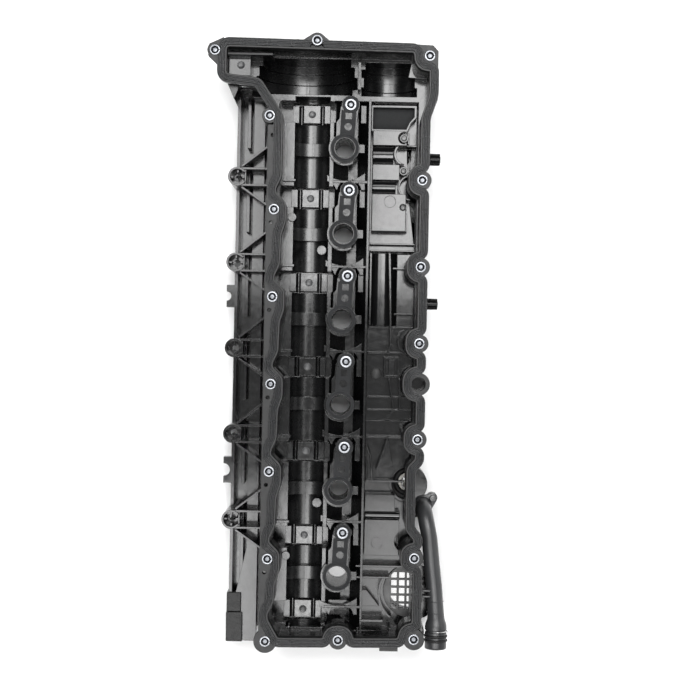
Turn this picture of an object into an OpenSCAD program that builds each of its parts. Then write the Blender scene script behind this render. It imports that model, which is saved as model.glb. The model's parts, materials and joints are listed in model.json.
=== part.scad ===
// Cylinder-head cover of an inline six, lying on its outside with the gasket face up.
// Origin: on the gasket plane, above the line of coil wells, halfway along them.
// +X points to the oil separator's side, +Y to the timing end, +Z out of the gasket face.

/* [Cylinders] */
// Distance between neighbouring cylinders
pitch = 91; // [90.5:0.5:91.5]
// Radius of the bore that an ignition coil passes through
well_r = 10.5; // [10:0.25:11]
// Height of the coil seals' seats
well_z = -32; // [-33:0.5:-31]

/* [Flange] */
// Half the width of the flange, measured from the gasket's centre line
flange_half = 4.4; // [4.2:0.1:4.6]
// Thickness of the flange
flange_t = 10; // [9:0.5:11]
// How far the plastic flange lies below the steel sleeves' ends
flange_drop = 1; // [0.8:0.1:1.2]
// Half the width of the rubber gasket
gasket_half = 2.2; // [2:0.1:2.3]
// Depth of the gasket's groove
groove_depth = 4; // [3.5:0.5:5]

/* [Fasteners] */
// Outer radius of a flange bolt's compression sleeve
sleeve_r = 5.6; // [5.4:0.1:5.7]
// Outer radius of an inner bolt's compression sleeve
inner_sleeve_r = 6.2; // [6:0.1:6.4]
// Thread radius of a bolt
thread_r = 3; // [2.9:0.05:3.1]
// How far a captive bolt slides in its sleeve
bolt_travel = 10; // [8:1:10]

/* [Body] */
// Thickness of the moulded walls
wall = 3.5; // [3:0.5:4]
// Height of the outside's lowest faces, on which the cover lies
rest_z = -100; // [-102:1:-100]
// Inner radius of the big sprocket dome
dome_r = 54; // [53:0.5:54]
// Radius of the cam tunnel
tunnel_r = 19; // [18:0.5:19.5]

/* [Oil system] */
// Radius of the oil filler's bore
filler_r = 26; // [25:0.5:26.5]
// Edge of one square hole in the filler's grille
grille_hole = 6; // [5:0.5:6.5]
// Distance between two holes in the filler's grille
grille_pitch = 8.5; // [8.5:0.5:9]
// Outer radius of the breather pipe
pipe_r = 8.5; // [8:0.25:9]
// Radius of the breather pipe's hose end
pipe_end_r = 11.5; // [11:0.25:12]

/* [Hidden] */
$fn = 48;

// Gap left round a piece that is pressed or laid into another
fit_gap = 0.05;
// Coil wells, front to rear, on the line x = 0
WELLS = [for (i = [0 : 5]) pitch * (2.5 - i)];
// Each inner bolt stands beside and in front of its well
inner_bolt_x = 5.4;
inner_bolt_y = 46;
// Bearing caps, one in front of each well and one behind the last
bearing_y = 39.5;
BEARINGS = concat([for (w = WELLS) w + bearing_y], [WELLS[5] - bearing_y - 1]);
// Flange bolts on the ear side
left_x = -72.5;
LEFT_Y = [for (i = [0 : 4]) 158 - pitch * i];
// Flange bolts on the separator side, rear to front
right_x = 81.5;
RIGHT = [[80.5, -202.6], [right_x, -79], [right_x, 21], [right_x, 100.7], [right_x, 191]];
// Corner and end bolts
REAR = [[-73.3, -291.8], [2.6, -289.3], [right_x, -287]];
FRONT = [[-137, 322.7], [-30.7, 334.6], [86.9, 320.7], [-78.7, 255.5]];
BOLTS = concat(FRONT, [for (y = LEFT_Y) [left_x, y]], REAR, RIGHT);
// Large plain hole through the flange
stud_hole = [right_x, -21.3];
stud_hole_r = 7.3;
// Outrigger bosses on the ear side
ear_x = -113.5;
EARS = [for (i = [0 : 4]) 195 - pitch * i];
// Oil filler, pressure regulator and breather foot
filler = [79, -247];
pcv = [75.3, -131];
foot = [91, -153];
foot_screw = [10.4, 8.2];
// Sprocket domes: x, height of the axis
dome = [-42, -42];
small_dome = [46, -46];
small_dome_r = 30;
// Levels of the inside
cavity_z = -42;
floor_z = -66;
roof_z = floor_z - 4;
chamber_z = rest_z + 3;
// Cam tunnel's axis: x, height
tunnel = [-35, -45];
// Bolt lengths
sleeve_bottom = -22;
inner_sleeve_bottom = -70;
head_r = 6.6;
// Open channel under a bolt's head, and the wall round it inside the cover
channel_r = head_r + 0.5;
channel_wall_r = 13;

// ---- Plan outlines ----

function unit(v) = v / norm(v);
function heading(v) = atan2(v[1], v[0]);
function turn(d) = d > 180 ? d - 360 : d < -180 ? d + 360 : d;
function round_corner(a, b, c) = let (
    p = [b[0], b[1]],
    u = unit([a[0], a[1]] - p),
    v = unit([c[0], c[1]] - p),
    half = acos(u * v) / 2,
    centre = p + unit(u + v) * b[2] / sin(half),
    from = heading(p + u * b[2] / tan(half) - centre),
    sweep = turn(heading(p + v * b[2] / tan(half) - centre) - from),
    n = max(1, ceil(abs(sweep) / 20))
) [for (k = [0 : n]) centre + b[2] * [cos(from + sweep * k / n), sin(from + sweep * k / n)]];
// A closed outline of [x, y, radius] corners, with each corner rounded
function rounded(p) = [for (i = [0 : len(p) - 1])
    each round_corner(p[(i + len(p) - 1) % len(p)], p[i], p[(i + 1) % len(p)])];
// The outline moved outwards by d, for a path that runs counterclockwise
function moved(a, b, c, d) = let (
    u = unit(b - a),
    v = unit(c - b),
    n = unit([u[1] + v[1], -u[0] - v[0]])
) b + n * d / (n * [u[1], -u[0]]);
function grown(p, d) = [for (i = [0 : len(p) - 1])
    moved(p[(i + len(p) - 1) % len(p)], p[i], p[(i + 1) % len(p)], d)];

right_line = 83.4;
// The gasket passes inside a bolt on the separator side
function detour(c, reach) = [
    [right_line, c[1] - reach - 2.8, 5],
    [c[0] - reach, c[1] - reach + 0.6, reach - 1.2],
    [c[0] - reach, c[1] + reach - 0.6, reach - 1.2],
    [right_line, c[1] + reach + 2.8, 5]];
// The gasket passes inside a bolt on the ear side, and swings out in front of it
function wave(y) = [[-69.3, y + 35, 12], [-74.8, y + 23, 9], [-74.8, y + 15.5, 7], [-64, y + 5, 7],
    [-64, y - 12, 12], [-68.5, y - 26, 14]];
SEAL = rounded(concat(
    [[-62.5, -292.2, 7], [-10.2, -291.6, 5], [-7, -278.6, 9.4], [12.2, -278.6, 9.4], [15.4, -291.2, 5]],
    [[67.5, -290.4, 6], [71.5, -275.8, 9], [right_line, -273.2, 6]],
    detour(RIGHT[0], 10.2),
    [[right_line, -181.5, 8], [75, -172, 8], [75, -110, 8], [right_line, -101, 8]],
    detour(RIGHT[1], 10.2),
    detour(stud_hole, 12.4),
    detour(RIGHT[2], 10.2),
    detour(RIGHT[3], 10.2),
    detour(RIGHT[4], 10.2),
    [[right_line, 256, 18], [91.3, 279, 18], [91.3, 308.5, 5], [76.2, 310, 9.4], [74, 327.8, 6]],
    [[-128.9, 330.9, 7], [-129.2, 294.6, 8], [-91.5, 290.4, 9], [-69.2, 256.5, 9]],
    [for (y = LEFT_Y) each wave(y)],
    [[-69.3, -250, 12], [-75.2, -262, 10], [-75.2, -270, 10]]));

// ---- Shared shapes ----

module block(x0, x1, y0, y1, z0, z1) {
    translate([x0, y0, z0]) cube([x1 - x0, y1 - y0, z1 - z0]);
}
module post(p, r, z0, z1) {
    translate([p[0], p[1], z0]) cylinder(r = r, h = z1 - z0);
}
module tube(p, r_out, r_in, z0, z1) {
    difference() {
        post(p, r_out, z0, z1);
        post(p, r_in, z0 - 1, z1 + 1);
    }
}
module prism(points, z0, z1) {
    translate([0, 0, z0]) linear_extrude(z1 - z0) polygon(points);
}
module band(outer, inner, z0, z1) {
    difference() {
        prism(grown(SEAL, outer), z0, z1);
        prism(grown(SEAL, inner), z0 - 1, z1 + 1);
    }
}
module along_y(x, z, r, y0, y1) {
    translate([x, y0, z]) rotate([-90, 0, 0]) cylinder(r = r, h = y1 - y0);
}
module along_x(y, z, r, x0, x1) {
    translate([x0, y, z]) rotate([0, 90, 0]) cylinder(r = r, h = x1 - x0);
}
// A section in x and z, drawn out along y
module profile_y(points, y0, y1) {
    translate([0, y1, 0]) rotate([90, 0, 0]) linear_extrude(y1 - y0) polygon(points);
}
// A straight rib between two points in plan
module rib(a, b, w, z0, z1) {
    translate([a[0], a[1], z0]) rotate([0, 0, heading(b - a)]) translate([0, -w / 2, 0])
        cube([norm(b - a), w, z1 - z0]);
}
// A round bar between two points
module rod(a, b, r) {
    d = b - a;
    translate(a) rotate([0, acos(d[2] / norm(d)), heading(d)]) rotate([0, 0, 45])
        cylinder(r = r, h = norm(d));
}

// ---- The moulded cover ----

module flange_plates() {
    z0 = -flange_drop - flange_t;
    prism(grown(SEAL, flange_half), z0, -flange_drop);
    block(-80.5, -64, -292, 246, z0, -flange_drop);
    prism([[70, 332.3], [90, 331.5], [95.8, 325.5], [95.8, 298], [86, 300], [70, 326]], z0, -flange_drop);
    prism([[-143, 329], [-128, 336], [-122, 318], [-131, 305], [-144, 317]], z0, -flange_drop);
    prism([[-51, 331], [-35, 341.6], [-26.4, 341.6], [-12.5, 330]], z0, -flange_drop);
    for (b = FRONT) post(b, 8, sleeve_bottom + 1, -flange_drop);
    for (y = LEFT_Y) post([left_x, y], 8.5, sleeve_bottom + 1, -flange_drop);
    for (b = concat(REAR, RIGHT)) post(b, 9.5, sleeve_bottom + 1, -flange_drop);
    post(REAR[0], 12, z0, -flange_drop);
    post(REAR[2], 11, z0, -flange_drop);
    post(stud_hole, 11.8, -34, -flange_drop);
    block(46, 65, -300, -290, -8, -3);
}

module half_dome(centre, r, y0, y1) {
    intersection() {
        along_y(centre[0], centre[1], r, y0, y1);
        block(centre[0] - r - 1, centre[0] + r + 1, y0 - 1, y1 + 1, centre[1] - r - 1, cavity_z - 2);
    }
}

module outer_form() {
    flange_plates();
    prism(grown(SEAL, wall - flange_half), cavity_z - 4, -flange_drop - flange_t + 1);
    block(-75, 73.5, -290, 284, roof_z, cavity_z - 1);
    block(70, 82, -290, -178, roof_z, cavity_z - 1);
    block(70, 82, -106, 284, roof_z, cavity_z - 1);
    block(-73, -9, -284, 282, -76, roof_z + 1);
    block(27, 73.5, -212, 250, rest_z, roof_z + 1);
    block(70, 82, -212, -178, rest_z, roof_z + 1);
    block(70, 82, -106, 250, rest_z, roof_z + 1);
    half_dome(dome, dome_r + 4, 281, 327);
    half_dome(small_dome, small_dome_r + 4, 281, 324.5);
    post(filler, filler_r + 5.5, rest_z, floor_z + 8);
    post(pcv, 20.5, -92, -58);
    post(foot, 11, -70, -58);
    post(foot + foot_screw, 5.5, -70, -58);
    post(foot - foot_screw, 5.5, -70, -58);
}

// A bearing cap's pocket has rounded ends
module bearing_pocket(y) {
    block(-68, -13, y - 11.5, y + 11.5, -72, cavity_z + 1);
    block(-71, -10.5, y - 8, y + 8, -72, cavity_z + 1);
    for (x = [-67.5, -14], s = [-1, 1]) post([x, y + s * 8], 3.5, -72, cavity_z + 1);
    // rounded grooves beside the middle pad
    for (x = [-47.75, -25]) along_y(x, -71.5, 2.45, y - 10.5, y + 10.5);
}

module inner_form() {
    prism(grown(SEAL, -flange_half), cavity_z, 1);
    // the deep bay round the coil wells
    profile_y([[-12, cavity_z + 1], [-12, -48], [4, floor_z], [14, floor_z], [25, -50],
        [25, cavity_z + 1]], -286, 279);
    // the separator's bay and its chamber
    block(27.2, 78, -208, 279, floor_z, cavity_z + 1);
    block(27.2, 78, -286, -205, floor_z, cavity_z + 1);
    block(31, 75, -204, -156, chamber_z, floor_z + 1);
    block(31, 52, -160, -102, chamber_z, floor_z + 1);
    block(31, 75, -106, 242, chamber_z, floor_z + 1);
    // the cam tunnel
    along_y(tunnel[0], tunnel[1], tunnel_r, -284, 283);
    for (y = BEARINGS) bearing_pocket(y);
    // hollows on the outside, between the bearing caps
    for (w = WELLS) block(-67, -58, w - 27, w + 26, -80, cavity_z - 6);
    // sprocket domes, turned in steps
    half_dome_bore(dome, dome_r, [[285, 291, -5], [291, 304, 0], [304, 315, -3], [315, 323.5, -7]]);
    half_dome_bore(small_dome, small_dome_r, [[284.5, 294, 0], [294, 304, -2.5], [304, 313, 0],
        [313, 320.5, -4]]);
    // pressure regulator, open towards its cap
    post(pcv, 18, -93, -61);
    post(pcv, 20.6, rest_z - 1, -92);
    post(foot, 6.5, -70.1, -57);
}
module half_dome_bore(centre, r, steps) {
    for (s = steps) along_y(centre[0], centre[1], r + s[2], s[0], s[1] + 0.01);
}

// A coil well, its inner bolt's boss and the deck that joins them
module well(y) {
    bolt = [inner_bolt_x, y + inner_bolt_y];
    post([0, y], 13.5, -88, well_z);
    post([0, y], 15.6, well_z - 5, well_z);
    intersection() {
        post([0, y], 17.4, well_z - 12, well_z - 3);
        block(-20, -4, y - 16, y + 12, well_z - 13, 0);
    }
    intersection() {
        post([0, y], 18.2, well_z - 9, well_z - 5);
        block(-15, 9, y - 22, y - 10, well_z - 10, 0);
    }
    block(14, 21, y - 4.5, y + 4.5, well_z - 8, well_z - 4);
    post(bolt, 9.6, floor_z - 1, well_z);
    difference() {
        prism([[-9.5, y + 8], [-9.5, y + 27], [-6.5, y + 31], [-5.2, y + 44], [14, y + 44], [12.5, y + 30],
            [12.5, y + 8]], roof_z + 1, well_z);
        block(-6.5, 10, y + 15, y + 36, roof_z, well_z - 5);
    }
    // the web between this well and the next bolt
    difference() {
        block(-18.5, 22, y - 43, y - 24, -50, -45);
        post([0, y], 33, -51, -44);
        post([-21, y - 47], 13, -51, -44);
        post([5.4, y - 45], 13, -51, -44);
    }
    rib([-13, y - 34.5], [26, y - 34.5], 2.4, floor_z - 1, -44);
    if (y > WELLS[5]) rib([-66, y - 34.5], [-52, y - 34.5], 2.4, cavity_z - 1, -37);
    // pad beside the bolt
    block(16.7, 22.8, y + 30, y + 49, -58, -54);
}

// A saddle crosses the cam tunnel beside each well
module saddle(y) {
    difference() {
        union() {
            block(-56, -16, y - 7, y + 7, -68, -44);
            post([-56, y], 7, -50, -44);
        }
        along_y(tunnel[0] + 1, -26, 29, y - 8, y + 8);
        block(-71, -57, y - 8, y + 8, -45.5, -43);
    }
}

// Pads over a bearing cap
module bearing_pads(y) {
    for (x = [[-57, -50.3], [-45.2, -27.3], [-22.7, -16.6]])
        block(x[0], x[1], y - 9.5, y + 9.5, -73, -61);
}

// Walls round the bolts' channels, where they pass through the bays
module channel_walls() {
    for (b = [REAR[1], REAR[2]]) post(b, channel_wall_r, roof_z + 1, cavity_z);
    intersection() {
        for (b = RIGHT) post(b, channel_wall_r, rest_z, cavity_z);
        block(60, 82, -220, 210, rest_z, cavity_z);
    }
}

module interior() {
    for (y = WELLS) {
        well(y);
        saddle(y);
    }
    for (y = BEARINGS) bearing_pads(y);
    // rail between the wells and the separator
    block(24.8, 27.2, -250, 279, floor_z - 1, well_z + 1);
    // plate and ridge in the front corner
    block(-124, -101, 300, 321, cavity_z - 1, -20);
    block(-124, -77, 319.5, 321.8, cavity_z - 1, -8);
    prism([[66, 303], [84, 302], [80, 318], [69, 318]], cavity_z - 1, -30);
    // rear bolt's pad and rear ribs
    block(-9, 11, -272, -256, roof_z + 1, -52);
    block(25, 50, -277, -274.5, roof_z + 1, -40);
    for (x = [-50, -15, 23, 57]) block(x - 1, x + 1, -289, -281, roof_z + 1, -30);
    prism([[25, -245], [32, -245], [46, -262], [25, -262]], floor_z - 1, -52);
    intersection() {
        tube(filler, 34.5, 32.5, floor_z - 1, -46);
        block(40, 66, -273, -229, -70, 0);
    }
    block(20, 56, -231, -229, floor_z - 1, -44);
    block(20, 74, -219, -217, floor_z - 1, -44);
    for (p = [[-55, 153.5], [-55, -207.5]]) post(p, 4.5, floor_z, -38);
    for (p = [[-23, 119.5], [-23, -151.5]]) post(p, 5, floor_z, -48);
    // divider between the domes
    block(12.6, 15.6, 289, 318, cavity_z - 4, -28);
    channel_walls();
}

// The box section and ears outside the skirt, on the cable duct's side
module apron() {
    y1 = 292;
    block(-97.5, -86.5, -200, y1, -62, -58);
    prism([[-97.5, -199], [-109, -251], [-101.5, -251], [-101, -303], [-86.5, -303], [-86.5, -199]], -62, -58);
    block(-98.5, -95.5, -200, y1, -92, -58);
    block(-89, -86.5, -303, y1, -80, -58);
    block(-88, -74, -290, 250, -80, -76);
    block(-77, -73, -290, 250, -80, -60);
    block(-116.5, -95.5, -251, y1, -92, -89);
    block(-116.5, -113.2, -251, y1, -92, -60);
    difference() {
        block(-105.8, -102.4, -251, y1, -92, -66);
        for (y = EARS) block(-107, -101, y + 11, y + 35, -89, -60);
    }
    block(-116.5, -86.5, y1 - 3, y1, -92, -44);
    block(-100.5, -86.5, -303, -300, -80, -58);
    block(-103, -99.5, -272, -251, -80, -58);
    for (y = EARS) ear(y);
    for (y = [[57, 81], [-133, -105]]) hook(y[0], y[1]);
    prism([[-127, 296], [-113.2, 296], [-113.2, 284], [-117, 274]], -60, -12);
}
module hook(y0, y1) {
    difference() {
        block(-125, -115, y0, y1, -74, -60);
        post([-125, (y0 + y1) / 2], (y1 - y0) / 2 - 7, -75, -59);
    }
}
module ear(y) {
    difference() {
        post([ear_x, y], 10, -92, -30);
        post([ear_x, y], 7.8, -52, -29);
        post([ear_x, y], 7.8, -93, -56);
        block(ear_x + 4, ear_x + 12, y - 5, y + 5, -52, -29);
    }
    difference() {
        union() {
            block(-121, -106, y - 1, y + 1, -53, -36);
            block(-114.5, -112.5, y - 8.5, y + 8.5, -53, -36);
        }
        post([ear_x, y], 4.6, -54, -29);
    }
    for (s = [-1, 1]) rib([-112, y + s * 8.8], [-74, y + s * 8.8], 2.2, -90, -31);
    rib([-109, y + 11], [-76, y + 37], 2, -90, -31);
    rib([-109, y - 11], [-80, y - 31], 2, -90, -31);
    block(-106, -104.4, y - 8, y + 8, -90, -34);
}

module fastener_holes() {
    for (b = BOLTS) post(b, sleeve_r + fit_gap, sleeve_bottom - 3, 1);
    for (y = WELLS) post([inner_bolt_x, y + inner_bolt_y], inner_sleeve_r + fit_gap, roof_z - 1, 0);
    post(stud_hole, stud_hole_r, -32, 1);
    for (b = concat([FRONT[1], FRONT[3]], [for (y = LEFT_Y) [left_x, y]], REAR, RIGHT))
        post(b, channel_r, rest_z - 1, sleeve_bottom);
    for (y = concat([LEFT_Y[0] + pitch], LEFT_Y)) post([left_x - 2.8, y - 14], 2, -13, 1);
    for (y = EARS) post([ear_x, y], 3.6, -93, -50);
    for (w = WELLS) post([0, w], well_r, rest_z - 1, 0);
    post(filler, filler_r, rest_z - 1, floor_z + 1);
    post(filler, filler_r + 3, floor_z, floor_z + 3.2);
}

module cover_shell() {
    color("#1d1e20") difference() {
        union() {
            difference() {
                outer_form();
                inner_form();
            }
            interior();
            apron();
        }
        band(gasket_half + 0.2, -gasket_half - 0.2, -flange_drop - groove_depth, 1);
        fastener_holes();
    }
}

// ---- Seals ----

module perimeter_gasket() {
    top = 0;
    color("#3a3b3d") difference() {
        union() {
            band(gasket_half, -gasket_half, -flange_drop - groove_depth, top - 1.2);
            band(gasket_half, gasket_half - 1.2, -flange_drop - 1, top);
            band(1.2 - gasket_half, -gasket_half, -flange_drop - 1, top);
        }
        post(FRONT[1], sleeve_r + 0.5, -20, 1);
    }
}

module coil_gasket(i) {
    y = WELLS[i];
    bolt = [inner_bolt_x, y + inner_bolt_y];
    color("#48494b") difference() {
        union() {
            post([0, y], 15, well_z, well_z + 1.2);
            tube([0, y], 15, 13.6, well_z + 0.5, well_z + 2.2);
            tube([0, y], 12.6, 11.4, well_z + 0.5, well_z + 2);
            prism([[-5.5, y + 12], [-4, y + 40], [11.5, y + 40], [10, y + 12]], well_z, well_z + 1.2);
            rib([-4.9, y + 13.4], [-3.6, y + 40], 1.4, well_z + 0.5, well_z + 2);
            rib([9.2, y + 12], [11, y + 40], 1.4, well_z + 0.5, well_z + 2);
            tube(bolt, 9, 7.6, well_z + 0.5, well_z + 2);
            post(bolt, 9, well_z, well_z + 1.2);
        }
        post([0, y], well_r + 0.8, well_z - 1, 0);
        post(bolt, inner_sleeve_r + fit_gap, well_z - 1, 0);
        block(0, 7, y + 30.5, y + 37.5, well_z - 1, 0);
        post([3, y + 22.5], 4, well_z - 1, 0);
    }
}

// ---- Fasteners ----

// A sleeve with a crimped waist that keeps its bolt captive
module sleeve(p, r, z0, z1) {
    lip = z1 - 15.2;
    difference() {
        post(p, r, z0, z1);
        post(p, thread_r + 0.35, lip, z1 + 1);
        post(p, thread_r + 0.35, z0 - 1, lip - 2);
        post(p, thread_r - 0.3, z0 - 1, z1 + 1);
        translate([p[0], p[1], z1 - 0.5]) cylinder(r1 = thread_r + 0.35, r2 = thread_r + 1.4, h = 1);
    }
}
module flange_sleeves() {
    color("#c8cacc") for (b = BOLTS) sleeve(b, sleeve_r, sleeve_bottom, 0);
}
module coil_sleeves() {
    color("#d2d4d6") for (y = WELLS)
        sleeve([inner_bolt_x, y + inner_bolt_y], inner_sleeve_r, inner_sleeve_bottom, well_z + 2);
}
// A captive bolt, drawn back until its thread rests on the sleeve's waist
module captive_bolt(p, z1, z0) {
    tip = z1 - 1.2;
    washer = z0 - bolt_travel;
    color("#b9bcc0") {
        difference() {
            union() {
                translate([p[0], p[1], tip - 1]) cylinder(r1 = thread_r, r2 = thread_r - 0.8, h = 1);
                post(p, thread_r, z1 - 15, tip - 1);
                post(p, thread_r - 0.5, washer - 1, z1 - 14);
                post(p, head_r, washer - 1.6, washer);
                translate([p[0], p[1], washer - 7.5]) cylinder(r = 5.77, h = 6.5, $fn = 6);
            }
            translate([p[0], p[1], washer - 7.6]) cylinder(r = 3, h = 4, $fn = 6);
        }
    }
}
module bolt(i) {
    captive_bolt(BOLTS[i], 0, sleeve_bottom);
}
module coil_bolt(i) {
    captive_bolt([inner_bolt_x, WELLS[i] + inner_bolt_y], well_z + 2, inner_sleeve_bottom);
}

// ---- Oil separator ----

slab_x0 = 27.8;
slab_x1 = 77.4;
slab_top = floor_z + 3;
plate_top = -38;
module slab(y0, y1) {
    block(slab_x0, slab_x1, y0, y1, floor_z, slab_top);
}
// Where the plates leave room for the walls round the bolts' channels
module channel_notches() {
    for (b = RIGHT) post(b, channel_wall_r + 0.2, floor_z - 1, 0);
}
// A raised plate, hollow underneath
module plateau(x0, x1, y0, y1, top) {
    difference() {
        block(x0, x1, y0, y1, floor_z, top);
        block(x0 + 2, x1 - 2, y0 + 2, y1 - 2, floor_z - 1, top - 2.5);
    }
}
module separator_plate_front() {
    color("#232427") difference() {
        union() {
            slab(118, 278.4);
            plateau(30, 66, 140.5, 180, plate_top);
            plateau(30, 58.5, 195, 211.5, plate_top);
            plateau(30, 66, 232, 247.5, plate_top);
            // scooped troughs between the plates
            difference() {
                block(30, 55, 181, 194, floor_z, plate_top - 4);
                along_x(187.5, plate_top, 7.5, 29, 56);
            }
            difference() {
                block(30, 52, 212.5, 231, floor_z, plate_top - 4);
                along_x(221.5, plate_top + 2, 11, 29, 53);
            }
            // frame of the screen
            difference() {
                prism([[slab_x0, 247], [66.5, 247], [70, 256], [76, 262], [76, 275], [slab_x0, 275]],
                    floor_z, -40);
                prism(SCREEN_POCKET, -52, -39);
            }
            // screw bosses
            for (p = BAFFLE_SCREWS) post(p, 4.6, floor_z, plate_top - 2);
            // curved guide walls
            difference() {
                intersection() {
                    tube([71.5, 188], 13.8, 12, floor_z, -44);
                    block(56, 71, 172, 200, -70, 0);
                }
                post(BAFFLE_SCREWS[1], 3, -70, 0);
            }
            intersection() {
                tube([66, 224], 13.5, 11.2, floor_z, -44);
                block(50, 66, 213, 232, -70, 0);
            }
            rib([56, 232.6], [77, 232.6], 1.8, floor_z, -46);
            rib([68, 234], [68, 246], 1.8, floor_z, -44);
            rib([slab_x0 + 1, 120], [77, 120], 1.8, floor_z, -46);
            rib([slab_x0 + 1, 127.5], [77, 127.5], 1.8, floor_z, -50);
            rib([67, 140.5], [67, 160], 1.8, floor_z, -44);
        }
        for (p = BAFFLE_SCREWS) {
            post(p, 1.6, floor_z + 4, plate_top);
            post(p, 3.4, plate_top - 2, plate_top + 1);
        }
        post(BAFFLE_SCREWS[0], 6.4, plate_top - 2, plate_top + 1);
        tube(BAFFLE_SCREWS[0], 6.4, 4.6, plate_top - 5, plate_top - 2);
        channel_notches();
        post([49, 172], 6.2, plate_top - 0.4, plate_top + 1);
    }
}
SCREEN_POCKET = [[29.5, 249.5], [65, 249.5], [68.5, 257], [73.5, 263], [73.5, 272.5], [29.5, 272.5]];
BAFFLE_SCREWS = [[63, 240], [63, 205], [63, 166]];

module separator_plate_mid() {
    color("#232427") difference() {
        union() {
            slab(-62, 117.4);
            // half-round duct
            intersection() {
                along_y(42, -62, 17, 40, 117);
                block(28, 60, 38, 118, floor_z, 0);
            }
            rib([30, 40], [30, 117], 1.8, floor_z, -42);
            rib([53, 20], [50, 117], 1.8, floor_z, -40);
            rib([50, 10], [53, 20], 1.8, floor_z, -40);
            // small box with a lid seat
            difference() {
                block(46, 62.5, -15.5, 6.5, floor_z, -44);
                block(48, 60.5, -13.5, 4.5, -52, -43);
            }
            block(51, 57.5, -13.5, 3.5, -53, -45);
            rib([52, -17], [57.5, -50], 1.8, floor_z, -44);
            rib([63, -17], [64, -50], 1.8, floor_z, -44);
            rib([57.5, -50], [50, -61], 1.8, floor_z, -44);
            for (y = [52.5, 38, -37, -51]) rib([slab_x0 + 1, y], [77, y], 1.6, floor_z, -52);
            intersection() {
                tube([75, 24], 15, 13.2, floor_z, -46);
                block(59, 70, 12, 36, -70, 0);
            }
            rib([slab_x0 + 1, 101.5], [77, 101.5], 1.6, floor_z, -50);
            rib([slab_x0 + 1, 10.8], [72, 10.8], 1.6, floor_z, -50);
        }
        post(DRAIN, 2.6, floor_z - 1, 0);
        post(DRAIN, 6.6, slab_top, 0);
        channel_notches();
    }
}
DRAIN = [38, -12];

module separator_plate_rear() {
    color("#232427") difference() {
        union() {
            slab(-207.6, -62.6);
            plateau(28.5, 60.5, -158.5, -141, plate_top);
            plateau(28.5, 65.5, -205.5, -167.5, plate_top);
            difference() {
                block(29, 66, -166.5, -159.5, floor_z, plate_top - 4);
                along_x(-163, plate_top - 2, 4, 28, 67);
            }
            // wedge beside the duct
            prism([[52, -78], [57.5, -110], [40, -114]], floor_z, -42);
            rib([40, -115], [52, -79], 1.6, floor_z, -38);
            rib([slab_x0 + 1, -88], [34, -100], 1.8, floor_z, -44);
            rib([33.8, -98.6], [36, -127], 1.8, floor_z, -43);
            rib([slab_x0 + 1, -100], [30.5, -127], 1.8, floor_z, -48);
            rib([slab_x0 + 1, -127], [70, -127], 1.8, floor_z, -46);
            rib([slab_x0 + 1, -79.8], [66, -79.8], 1.8, floor_z, -44);
            rib([66, -66], [76, -96], 1.8, floor_z, -46);
        }
        post(pcv, 20.7, -70, -57);
        post([72, -190], 11.5, -60, 0);
        post([42, -192], 6, plate_top - 0.4, plate_top + 1);
        channel_notches();
    }
}

module separator_screen() {
    color("#34373b") prism(grown(SCREEN_POCKET, -0.15), -52, -49.4);
}

module separator_labyrinth() {
    z1 = floor_z - 1.5;
    color("#2c2d30") {
        block(40, 43, -98, 238, chamber_z, chamber_z + 6);
        block(60, 63, -98, 238, chamber_z, chamber_z + 6);
        for (i = [0 : 10]) {
            y = -92 + i * 32;
            block(i % 2 == 0 ? 34 : 42, i % 2 == 0 ? 64 : 68, y, y + 2, chamber_z, z1);
        }
    }
}

module baffle_screws() {
    color("#8d9094") for (p = BAFFLE_SCREWS) difference() {
        union() {
            post(p, 3.2, plate_top - 2, plate_top + 0.4);
            post(p, 1.5, floor_z + 6, plate_top - 1);
        }
        translate([p[0], p[1], plate_top - 1.2]) cylinder(r = 1.5, h = 3, $fn = 6);
    }
}

// Rubber mushroom that lets oil drain out of the separator
module drain_valve() {
    color("#2a2a2c") {
        post(DRAIN, 6, slab_top, slab_top + 1.4);
        post(DRAIN, 2.2, floor_z - 3, slab_top + 0.5);
        post(DRAIN, 3.2, floor_z - 4.5, floor_z - 3);
    }
}

// ---- Oil filler ----

module filler_grille() {
    r = filler_r + 2.8;
    n = 3;
    color("#55585b") difference() {
        post(filler, r, floor_z, floor_z + 2.6);
        for (i = [-n : n], j = [-n : n]) if (norm([i, j]) * grille_pitch + grille_hole * 0.6 < r - 1)
            translate([filler[0] + i * grille_pitch, filler[1] + j * grille_pitch, floor_z])
                cube([grille_hole, grille_hole, 12], center = true);
    }
}

// ---- Crankcase pressure regulator ----

module pcv_cap() {
    color("#242528") difference() {
        union() {
            post(pcv, 20.5, -97.5, -93);
            post(pcv, 14, rest_z, -96);
        }
        post(pcv, 17, -95.5, -92);
    }
}
module pcv_diaphragm() {
    color("#303134") {
        tube(pcv, 20.3, 15, -93, -92);
        translate([pcv[0], pcv[1], -92.5]) rotate_extrude() translate([12.9, 0]) difference() {
            circle(r = 2.6);
            circle(r = 1.8);
            translate([-4, -8]) square([8, 8]);
        }
    }
}
module pcv_plate() {
    color("#d9d6cc") {
        post(pcv, 9.8, -92, -90.4);
        post(pcv, 4, -91, -84);
    }
}
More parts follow.
